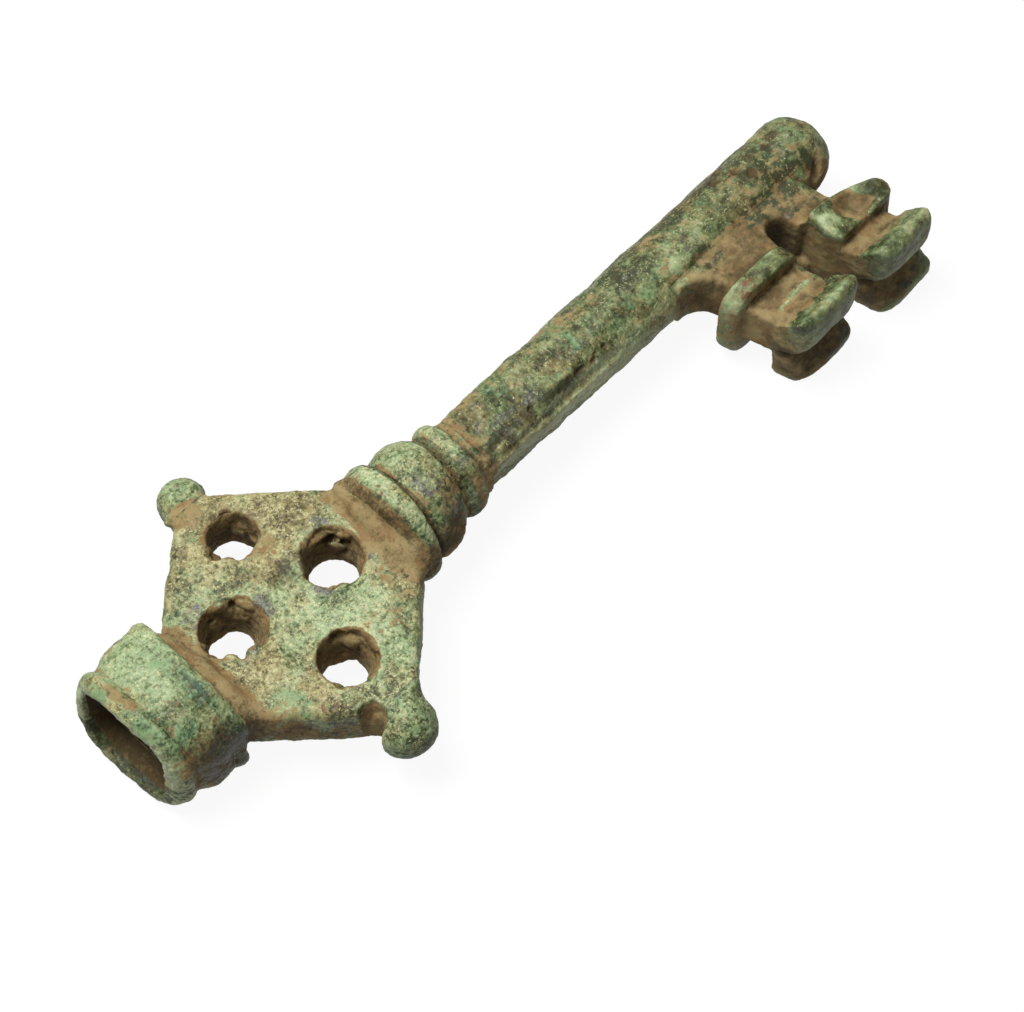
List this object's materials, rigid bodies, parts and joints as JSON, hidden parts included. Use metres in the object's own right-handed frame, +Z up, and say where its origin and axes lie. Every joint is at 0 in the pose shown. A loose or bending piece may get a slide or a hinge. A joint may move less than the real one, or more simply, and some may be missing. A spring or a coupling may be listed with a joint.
{
  "type": "ancient bronze key",
  "caption": "Cast key with a hollow socket, a pierced lozenge plate with side knobs, a collared knop, a shank and a bit with forked ward blocks.",
  "frame": {"origin": "middle of the bounding box at the level the key lies on", "axes": "+X from the socket mouth to the tip, +Z up out of the pierced plate's face, the bit reaches towards -Y"},
  "size_m": [0.111, 0.043, 0.015],
  "materials": {
    "skin_pale": "pale green patina over cast bronze, dull",
    "skin_mid": "green patina over cast bronze, dull",
    "skin_dark": "dark green patina with worn metal on the edges",
    "skin_soil": "bronze under brown burial soil, matt"
  },
  "bodies": {
    "root": {"socket_mouth_band": "skin_mid", "socket_drum": "skin_pale", "socket_rear_bead": "skin_mid", "bow_plate": "skin_pale", "left_knob": "skin_dark", "right_knob": "skin_dark", "lower_collar": "skin_mid", "knop": "skin_pale", "upper_collar": "skin_mid", "shank": "skin_pale", "shank_tip": "skin_mid", "bit_web": "skin_soil", "near_inner_flange": "skin_mid", "near_ward_web": "skin_soil", "near_outer_fork": "skin_dark", "far_inner_flange": "skin_mid", "far_ward_web": "skin_soil", "far_outer_fork": "skin_dark"}
  },
  "joints": []
}
